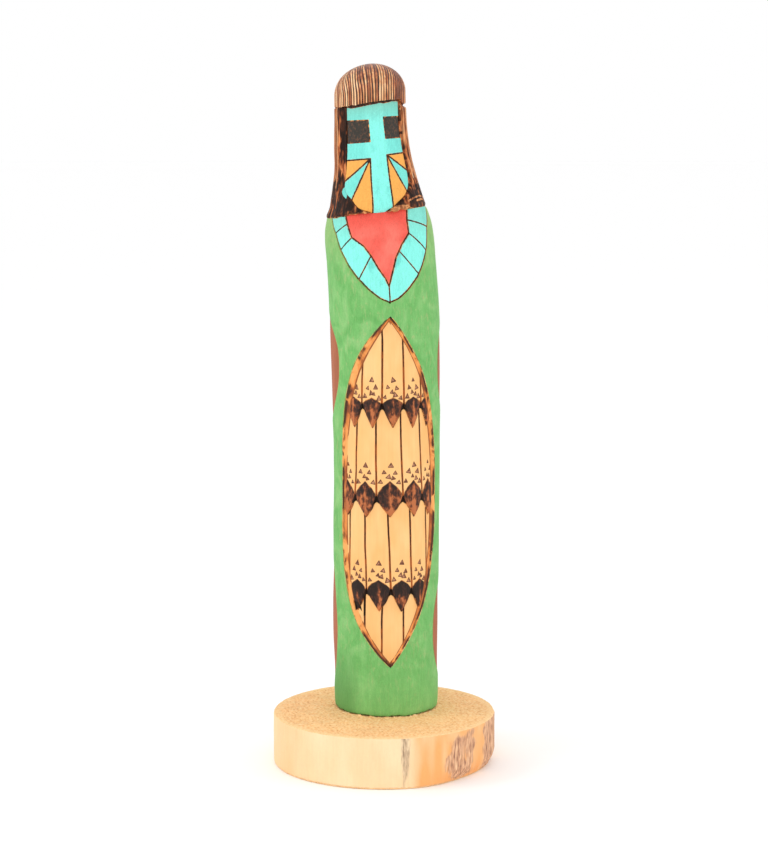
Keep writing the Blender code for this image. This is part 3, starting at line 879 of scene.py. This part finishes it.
def make_mask(material):
    """The painted mask: a forehead bar, square eyes, a cross and fans of rays beside the chin."""
    heights = np.linspace(CHIN - 0.5, RIM + 2.6, 250)
    height = heights[:, None]
    left, right = mask_left(height), mask_right(height)
    share = np.linspace(0, 1, 210)[None, :]
    angle = left + 0.3 + (right - left - 0.6) * share
    base = mask_radius(height) + 0 * angle
    across = base * np.sin(np.radians(angle - MASK_TURN))
    level = height + 0 * angle
    eyes, ochre_shapes, lines = mask_shapes()
    eye = shape_distance(across, level, eyes)
    ochre = shape_distance(across, level, ochre_shapes)
    line = line_distance(across, level, lines)
    edge = to_arc(np.minimum(angle - left, right - angle), base)
    radius = base + 0.05 * value_noise(across / 2.5, level / 4, 21) - 0.22 * smooth(eye, 0.15, -0.15)
    radius = radius - 0.2 * bell(line, 0.2) - 0.5 * decay(edge, 0.35)
    top_burn = fringe_rim(angle) - 1.2 - level + 0.4 * value_noise(across / 2.0, 0 * level, 22)
    border = np.minimum(edge, np.clip(top_burn + 0.5, 0, BEYOND))
    fields = {"eye": eye, "ochre": ochre, "line": line, "border": border, "height": level,
              "outward": np.abs(across)}
    return patch("mask", place(angle, height, radius), spine(heights, HEAD_SPINE), fields, material)


def strand_pattern(phase, seed):
    """Grooves between hair strands (0 to 1, some fainter) and a tone for each strand."""
    random = np.random.default_rng(seed)
    count = 512                       # more than there are strands
    tones, depths = random.uniform(0, 1, count), random.uniform(0.55, 1.3, count)
    nearest = np.round(phase)
    depth = np.minimum(depths[nearest.astype(int) % count], 1)
    return depth * bell(phase - nearest, 0.24), tones[np.floor(phase).astype(int) % count]


CAP_STRANDS = 80
PARTING = 11.0                    # from the crown back to where the strands meet
CROWN_SHIFT = 0.35                # the crown sits a little to the left
# Pale fibres torn loose above the hem on the right: (arc, height).
LOOSE_FIBRES = [[(13.5, 239.6), (17.5, 240.8), (23.0, 241.2), (29.0, 239.8)],
                [(19.0, 239.2), (24.0, 239.6), (30.0, 238.0)]]
# Turquoise that ran over the strand on the left of the mask.
PAINT_SPILL = [(-19.7, 248.4), (-20.6, 247.6), (-20.7, 246.4), (-19.8, 245.0), (-17.0, 243.2),
               (-17.0, 248.6)]
HAIR_RADIUS = 21.0                # on which arcs across the hair are measured
HAIR_STRANDS = 92
BEHIND_MASK = 11.0                # radius of the long hair's hidden front


def make_hair_cap(material):
    """The domed fringe, scored from the crown down to the rim."""
    columns = CAP_STRANDS * 8
    turn = np.arange(columns) / columns * 360 - 180
    dome = np.linspace(2, 90, 62)
    rim_drop = np.concatenate([np.linspace(0, 1, 18)[1:], [1.0, 1.0]])
    rows = len(dome) + len(rim_drop)
    angle = np.broadcast_to(turn[None, :], (rows, columns))
    ragged = 0.22 * noise_round(turn, 0, CAP_STRANDS, 1, 31)
    rim = fringe_rim(turn) + ragged
    dome_foot = RIM + CAP_BAND
    radius, height = np.zeros((rows, columns)), np.zeros((rows, columns))
    arc = np.radians(dome)[:, None]
    radius[:len(dome)] = CAP_RADIUS * np.sin(arc)
    height[:len(dome)] = dome_foot + (CROWN - dome_foot) * np.cos(arc)
    drop = rim_drop[:, None]
    radius[len(dome):] = CAP_RADIUS
    height[len(dome):] = dome_foot + (rim[None, :] - dome_foot) * drop
    # The strands run to a point behind the crown.
    behind = PARTING * np.clip((height - dome_foot) / (CROWN - dome_foot), 0, 1) ** 1.7
    right_way = radius * np.sin(np.radians(angle))
    back_way = behind + radius * np.cos(np.radians(angle))
    from_parting = np.hypot(right_way, back_way)
    wobble = 0.25 * noise_round(turn, height, 32, 12, 32)
    phase = np.arctan2(right_way, back_way) / (2 * math.pi) * CAP_STRANDS + wobble + 200
    groove, tone = strand_pattern(phase, 33)
    # Towards the parting, one groove after another runs out.
    number = np.round(phase).astype(int)
    fade = np.where(number % 2 == 1, smooth(from_parting, 5.0, 8.0), 1.0)
    fade = np.where(number % 4 == 2, smooth(from_parting, 3.0, 5.0), fade)
    fade = np.where(number % 4 == 0, smooth(from_parting, 1.0, 3.0), fade)
    groove = groove * fade
    depth = 0.30 + 0.2 * smooth(height, RIM + 6, RIM)
    swell = 0.15 * noise_round(angle, height, 16, 6, 34)
    radius = radius + swell * smooth(radius, 2, 8) - depth * groove
    # The rim's last rings turn inwards.
    radius[-3] -= 0.15
    radius[-2] -= 0.5
    height[-2] -= 0.1
    radius[-1] -= 1.3
    char = np.zeros(radius.shape)
    char[-2:] = 0.7
    # Painted shade on the right, the side away from the light; darker at the crown too.
    shade = 0.46 * smooth(angle, -10, 60) * (1 - smooth(angle, 120, 160)) + 0.3 * smooth(height, 294, 303)
    tone = 1.1 * tone - shade + 0.3 * value_noise(phase, height / 3, 35)
    fields = {"groove": groove, "tone": tone, "char": char, "black": 0 * char, "bare": 0 * char,
              "spill": BEYOND + char}
    flip = slice(None, None, -1)
    points = place(angle, height, radius)[flip]
    points[..., 0] -= CROWN_SHIFT * MM * smooth(height[flip], RIM + 3, CROWN - 2)
    return tube("hair_cap", points, {key: value[flip] for key, value in fields.items()}, material)


def make_long_hair(material):
    """Side and back hair, flaring to a ragged hem, open in front for the mask."""
    heights = np.concatenate([[HEM - 0.1], np.linspace(HEM, RIM + 2.4, 170)])
    height = heights[:, None]
    left, right = mask_left(height), mask_right(height)
    # Columns round the hair, then a few straight across behind the mask.
    count, behind_mask = 440, 8
    hair_angle = right + (360 + left - right) * np.arange(count)[None, :] / count
    window_angle = left + (right - left) * np.linspace(0, 1, behind_mask)[None, :]
    angle = np.hstack([hair_angle, window_angle])
    in_window = np.arange(count + behind_mask)[None, :] >= count
    signed = np.where(angle > 180, angle - 360, angle)
    base = log_radius(height)
    phase = angle / 360 * HAIR_STRANDS + 0.8 * noise_round(angle, height, 30, 14, 41) + 200
    groove, tone = strand_pattern(phase, 42)
    strength = 0.5 + 0.5 * noise_round(angle, height, 46, 9, 43)
    groove = groove * np.clip(strength + 0.25, 0.2, 1)
    # The strand beside the mask rolls over into the cut, more widely on the left.
    to_left = np.clip(left - signed, 0, 360)
    to_right = np.clip(signed - right, 0, 360)
    wall = np.where(signed < 0, 1 - smooth(to_left, 0, 18), 1 - smooth(to_right, 0, 4))
    lower = smooth(height, 252, 240)
    ragged = 0.5 * noise_round(angle, 0, 60, 1, 44) + 0.3 * noise_round(angle, 0, 180, 1, 50)
    behind_left = 1 - smooth(-signed, 110, 150)
    left_corner = smooth(-signed, 30, 60) * behind_left * (1 - smooth(height, HEM, HEM + 4))
    lifted = height + ragged * (1 - smooth(height, HEM, HEM + 3)) - 1.4 * left_corner
    radius = base + 0.25 * smooth(height, 262, 240) - 0.25 * groove - wall * (1.7 - 0.5 * lower)
    radius = radius - 0.75 * smooth(-signed, 45, 75) * behind_left * smooth(height, 268, 252)
    radius = radius + 0.12 * noise_round(angle, height, 40, 7, 45) + 1.3 * left_corner
    rim = fringe_rim(signed)
    radius = radius - 0.7 * decay(height - HEM + 0.1, 0.35) - 1.3 * smooth(height, rim - 0.7, rim + 0.3)
    # A gap under the fringe's corner on the right; the char laid in it is painted shade.
    corner = smooth(signed, 42, 54) * (1 - smooth(signed, 100, 130)) * bell(height - rim + 0.9, 0.7)
    radius = np.where(in_window, BEHIND_MASK, radius - 1.5 * corner)
    # Charring, most of it above the hem and beside the mask, and painted shade at the top of the left wall.
    front = 1 - smooth(np.abs(signed), 78, 110)
    blotch = noise_round(angle, height, 70, 2.2, 46)
    streaky = noise_round(angle, height, 120, 9, 48)
    hem_char = smooth(height + 3.0 * blotch, 250, 246.5) * (0.5 + 0.5 * front)
    side_char = np.where(signed < 0, smooth(to_left, 20.5, 15.5), smooth(to_right, 34, 8) * 0.5) * front
    char = np.maximum(hem_char, side_char + 0.25 * streaky * (side_char > 0))
    to_side = smooth(signed, -10, 10)
    ragged_height = height + 2.5 * streaky + 1.6 * blotch
    black_low = 1.5 * smooth(ragged_height, 257 - 8.5 * to_side, 248 - 3.5 * to_side)
    # Painted shade: the burned left wall goes black towards its top, under the fringe.
    black_left = smooth(to_left, 16, 11) * smooth(height + 4 * streaky, 256, 268)
    black_left = black_left + 0.8 * smooth(to_left, 3.0, 1.5)
    black_right = 0.8 * smooth(to_right, 3.5, 1.5) * smooth(blotch, 0.6, 0.2)
    black_wall = np.where(signed < 0, black_left, black_right)
    streak_black = smooth(side_char * (0.3 + 0.9 * streaky), 0.55, 0.85)
    black = np.clip(np.maximum(np.maximum(black_low * front, black_wall), streak_black), 0, 1)
    black = black * (0.75 + 0.5 * noise_round(angle, height, 90, 3, 51))
    # Bare wood: loose fibres, the hem's edge and the slope under the chin.
    arc = to_arc(signed, HAIR_RADIUS)
    cut_ends = smooth(line_distance(arc, lifted, LOOSE_FIBRES), 0.8, 0.15)
    hem_edge = 0.8 * smooth(height, HEM + 0.7, HEM + 0.1) * front
    under_chin = (smooth(np.abs(signed - 24), 15, 9) * smooth(height, 239.0, 237.4)
                  + 1.3 * smooth(np.abs(signed + 15), 9, 5) * smooth(height, 238.4, 237.2))
    bare = np.maximum(np.maximum(under_chin, cut_ends), hem_edge)
    fields = {"groove": groove, "tone": tone + 0.25 * value_noise(phase, height / 10, 47),
              "char": np.where(in_window, 1.0, np.maximum(char, corner)),
              "black": np.where(in_window, 1.0, black),
              "bare": bare, "spill": shape_distance(arc, lifted, [PAINT_SPILL])}
    return tube("long_hair", place(angle, lifted, radius), fields, material)


# --- Base ------------------------------------------------------------------------------------
BASE_HALF = (base_high.x - base_low.x) / 2 / MM
BASE_THICK = (base_high.z - base_low.z) / MM
HOLE_ROOM, HOLE_DEPTH = 0.3 * MM, 4 * MM    # round a screw head, and up from the underside


def base_side_material():
    look = Look("peeled_log")
    fibre = look.noise((0.9, 0.9, 0.10), detail=4.0)
    streaks = look.noise((1.5, 1.5, 0.22), detail=4.0)
    warm = look.noise((0.05, 0.05, 0.02))
    side = look.shades(warm, (0.35, (251, 214, 166)), (0.65, (253, 227, 184)))
    side = look.mix("orange", side, (249, 177, 108))
    side = look.tone(side, fibre, 0.965, 1.02)
    ragged = look.noise((0.5, 0.5, 0.14), detail=4.0)
    grey = look.math('ADD', "streak", look.math('MULTIPLY_ADD', ragged, 1.2, -0.66))
    grey_colour = look.shades(streaks, (0.34, (146, 118, 92)), (0.5, (206, 176, 142)),
                              (0.62, (246, 218, 178)))
    side = look.mix(look.step(grey, 0.30, 0.95), side, grey_colour)
    bark = look.math('ADD', "bark", look.math('MULTIPLY_ADD', ragged, 0.9, -0.46))
    bark_colour = look.shades(streaks, (0.30, (140, 94, 72)), (0.42, (192, 140, 108)),
                              (0.56, (226, 174, 134)), (0.68, (248, 206, 162)))
    side = look.mix(look.step(bark, 0.25, 0.65), side, bark_colour)
    # Painted shade: a dark line along the bottom edge, where the slice meets the table.
    foot = look.math('MULTIPLY', "foot", look.step(ragged, 0.36, 0.50))
    side = look.mix(foot, side, (176, 110, 82))
    speckle = look.noise((0.85, 0.85, 0.85), detail=5.0)
    sawn = look.shades(speckle, (0.28, (206, 134, 78)), (0.38, (242, 180, 118)),
                       (0.50, (252, 199, 137)), (0.66, (255, 215, 161)))
    sawn = look.tone(sawn, look.noise((0.12, 0.16, 0.1)), 0.95, 1.03)
    # Painted highlight: the top turns paler towards its outer edge.
    sawn = look.mix(look.step("outward", 47.5, 51.0, 0.5), sawn, (254, 216, 160))
    look.colour = look.mix(look.step("level", 0.4, 0.6), side, sawn)
    look.bump(fibre, 0.12)
    look.bump(speckle, 0.25)
    return look.finish(look.math('MULTIPLY_ADD', speckle, 0.2, 0.72))


def apart(turn, middle):
    """Degrees between two directions, the short way round."""
    return np.abs((turn - middle + 180) % 360 - 180)


def make_base(material):
    """The log slice: rough sawn faces, and a peeled side with leftover bark."""
    columns = 640
    turn = np.arange(columns) / columns * 360 - 180
    wave = 0.004 * np.cos(2 * np.radians(turn - 115)) + 0.0025 * np.cos(4 * np.radians(turn - 100))
    rim = BASE_HALF * (1 + wave) - 0.25
    centre = (base_low + base_high) / 2
    # Rings from the middle of the underside to the middle of the top: share of the rim's radius,
    # height, and how sawn they are.
    under = [(share, 0.0, 1.0) for share in np.linspace(0.04, 0.985, 12)]
    edge_low = [(0.994, 0.15, 1.0), (0.999, 0.6, 0.6)]
    side = [(1.0, height, 0.0) for height in np.linspace(1.0, BASE_THICK - 1.0, 34)]
    edge_high = [(0.999, BASE_THICK - 0.5, 0.4), (0.995, BASE_THICK - 0.12, 1.0)]
    top = [(share, BASE_THICK, 1.0) for share in np.linspace(0.985, 0.04, 84)]
    rings = np.array(under + edge_low + side + edge_high + top)
    share, height, level = (rings[:, index][:, None] for index in range(3))
    is_side = (level < 0.5).astype(float)
    is_top = ((height > BASE_THICK - 0.05) & (level > 0.5)).astype(float)
    x = share * rim * np.sin(np.radians(turn))
    y = -share * rim * np.cos(np.radians(turn))
    around = turn[None, :] / 360 * 64
    wander = turn + 2.2 * value_noise(height / 5, 0, 60) + value_noise(height / 2, 0, 61)
    slope = height - 0.22 * (turn - 34)
    edges = smooth(slope, BASE_THICK + 1, BASE_THICK - 6) * smooth(height, -1, 3)
    narrowing = 0.25 * smooth(height, 10, 0)
    bark = (0.85 * smooth(np.abs(wander - 38.5 + 3 * narrowing) * (1 + narrowing), 15, 6) * edges
            + 1.1 * smooth(np.abs(wander - 72), 18, 11) + 0.8 * smooth(apart(wander, 165), 22, 12))
    bark = bark * is_side * (0.85 + 0.25 * value_noise(around * 2, height / 6, 51))
    streak = smooth(np.abs(turn - 5.4 + 0.03 * height), 4.2, 0.8) * (0.55 + 0.4 * smooth(height, 3, 12))
    streak = (streak + 0.7 * smooth(apart(turn, -118), 5, 2)) * is_side
    grain = value_noise(around * 1.5, height / 14, 52)
    orange = smooth(turn + 1.5 * grain, 5, 16) * (1 - smooth(turn, 80, 120)) * (0.8 + 0.35 * grain)
    orange = orange + 0.3 * smooth(turn, 6, 14) * (1 - smooth(turn, 30, 60)) * smooth(height, 14, 2)
    orange = orange + 0.32 * smooth(-turn, 35, 65) * (1 - smooth(-turn, 90, 120))
    orange = orange + 0.5 * smooth(apart(turn, 150), 60, 20)
    bulge = 0.35 * noise_round(turn, height, 16, 30, 53) + 0.10 * value_noise(around * 4, height / 9, 54)
    fibres = 0.10 * noise_round(turn, height, 512, 7, 55)
    worn = 2.6 * smooth(turn, 8, 45) * (1 - smooth(turn, 85, 110)) * smooth(height, 9, 0) ** 2
    lift = (bulge + fibres + 0.45 * np.clip(bark, 0, 1)) * is_side - worn
    fuzz = (0.16 * value_noise(x / 0.8, y / 0.8, 56) + 0.12 * value_noise(x / 0.45, y / 0.45, 57)
            + 0.10 * value_noise(x / 2.5 + y / 11, y / 9 - x / 30, 58))
    ragged = 0.12 * value_noise(around * 5, height, 59) * (1 - is_top) * (level > 0.3)
    reach = share * rim + lift + ragged
    from_axis = np.hypot(x - (FOOT.x - centre.x) / MM, y - (FOOT.y - centre.y) / MM)
    # Torn fibres stand up round the log's foot.
    fuzz = fuzz + (0.25 + 1.2 * fuzz) * bell(from_axis - 24.6, 0.9)
    low_top = -0.2 + fuzz * is_top
    points = np.stack([centre.x + reach * np.sin(np.radians(turn)) * MM,
                       centre.y - reach * np.cos(np.radians(turn)) * MM,
                       base_low.z + (height + low_top * is_top) * MM + 0 * reach], axis=-1)
    fields = {"outward": np.hypot(x, y), "level": level, "bark": bark, "streak": streak,
              "orange": np.clip(orange, 0, 1) * is_side,
              "foot": smooth(height, 1.0, 0.4) * (height > 0)}
    fields = {key: np.broadcast_to(value, points.shape[:2]) for key, value in fields.items()}
    base = tube("log_slice", points, fields, material)
    cut_screw_holes(base)
    return base


def cut_screw_holes(base):
    """Sink a hole for each screw head into the underside."""
    for number, middle in enumerate(screw_middles, start=1):
        low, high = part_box(f"base_screw_{number}")
        hole = (high.x - low.x) / 2 + HOLE_ROOM
        bpy.ops.mesh.primitive_cylinder_add(vertices=48, radius=hole, depth=2 * HOLE_DEPTH,
                                            location=(middle.x, middle.y, base_low.z))
        cutter = bpy.context.object
        cut = base.modifiers.new("Screw hole", 'BOOLEAN')
        cut.operation = 'DIFFERENCE'
        cut.object = cutter
        bpy.context.view_layer.objects.active = base
        bpy.ops.object.modifier_apply(modifier=cut.name)
        bpy.data.objects.remove(cutter, do_unlink=True)


def steel_material():
    look = Look("zinc_steel")
    brushed = look.noise((3.0, 3.0, 0.8), detail=3.0)
    look.colour = look.shades(brushed, (0.3, (168, 166, 158)), (0.7, (206, 205, 200)))
    look.bump(brushed, 0.02)
    return look.finish(look.math('MULTIPLY_ADD', brushed, 0.25, 0.25), Metallic=1.0)


# --- Studio ----------------------------------------------------------------------------------
def make_stage():
    bpy.ops.mesh.primitive_plane_add(size=40, location=(0, 0, base_low.z - 0.05 * MM))
    floor = bpy.context.object
    floor.name = "studio_floor"
    look = Look("studio_white")
    look.colour = (255, 255, 255)
    floor.data.materials.append(look.finish(0.9))


CAMERA_AZIMUTH = -6.0             # degrees round the object, below zero to the left
CAMERA_DISTANCE = 1.05            # metres
CAMERA_ABOVE_BASE = 0.2735
CAMERA_PITCH = 7.33               # degrees downwards
LENS = 96.9
AIM = Vector((0, 0, 0.17))        # what the lights point at


def make_camera():
    data = bpy.data.cameras.new("camera")
    data.lens = LENS
    data.sensor_width = 36
    camera = bpy.data.objects.new("camera", data)
    bpy.context.scene.collection.objects.link(camera)
    turn = math.radians(CAMERA_AZIMUTH)
    camera.location = (math.sin(turn) * CAMERA_DISTANCE, -math.cos(turn) * CAMERA_DISTANCE,
                       BASE_TOP + CAMERA_ABOVE_BASE)
    camera.rotation_euler = (math.radians(90 - CAMERA_PITCH), 0, turn)
    bpy.context.scene.camera = camera


def softbox(name, azimuth, elevation, distance, size, power):
    data = bpy.data.lights.new(name, 'AREA')
    data.shape = 'RECTANGLE'
    data.size, data.size_y = size
    data.energy = power
    light = bpy.data.objects.new(name, data)
    bpy.context.scene.collection.objects.link(light)
    turn, rise = math.radians(azimuth), math.radians(elevation)
    offset = Vector((math.sin(turn) * math.cos(rise), -math.cos(turn) * math.cos(rise), math.sin(rise)))
    light.location = AIM + offset * distance
    light.rotation_euler = (-offset).to_track_quat('-Z', 'Y').to_euler()


def make_lights():
    softbox("key", -84, 34, 1.2, (0.35, 0.50), 2.0)
    softbox("front", -8, 30, 1.6, (0.7, 0.9), 2.2)
    softbox("fill", 72, 26, 1.5, (0.7, 0.9), 1.4)
    world = bpy.data.worlds.new("studio")
    bpy.context.scene.world = world
    world.use_nodes = True
    background = world.node_tree.nodes["Background"]
    background.inputs["Color"].default_value = (1, 1, 1, 1)
    background.inputs["Strength"].default_value = 1.0
    bpy.context.scene.view_settings.view_transform = 'Standard'


def add_piece(piece, node):
    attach(piece, "root")
    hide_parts(node)


def main():
    make_camera()
    make_stage()
    make_lights()
    cap_hair = hair_material("lacquered_hair", 0.55)
    long_hair = hair_material("burned_hair", 0.0)
    for piece in (make_robe(robe_material()), make_bib(bib_material()),
                  make_feather_panel(feather_material()), make_mask(mask_material()),
                  make_hair_cap(cap_hair), make_long_hair(long_hair)):
        add_piece(piece, "carved_figure")
    add_piece(make_base(base_side_material()), "base_slice")
    steel = steel_material()
    for name in SCREWS:
        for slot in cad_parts[name].material_slots:
            slot.material = steel


main()
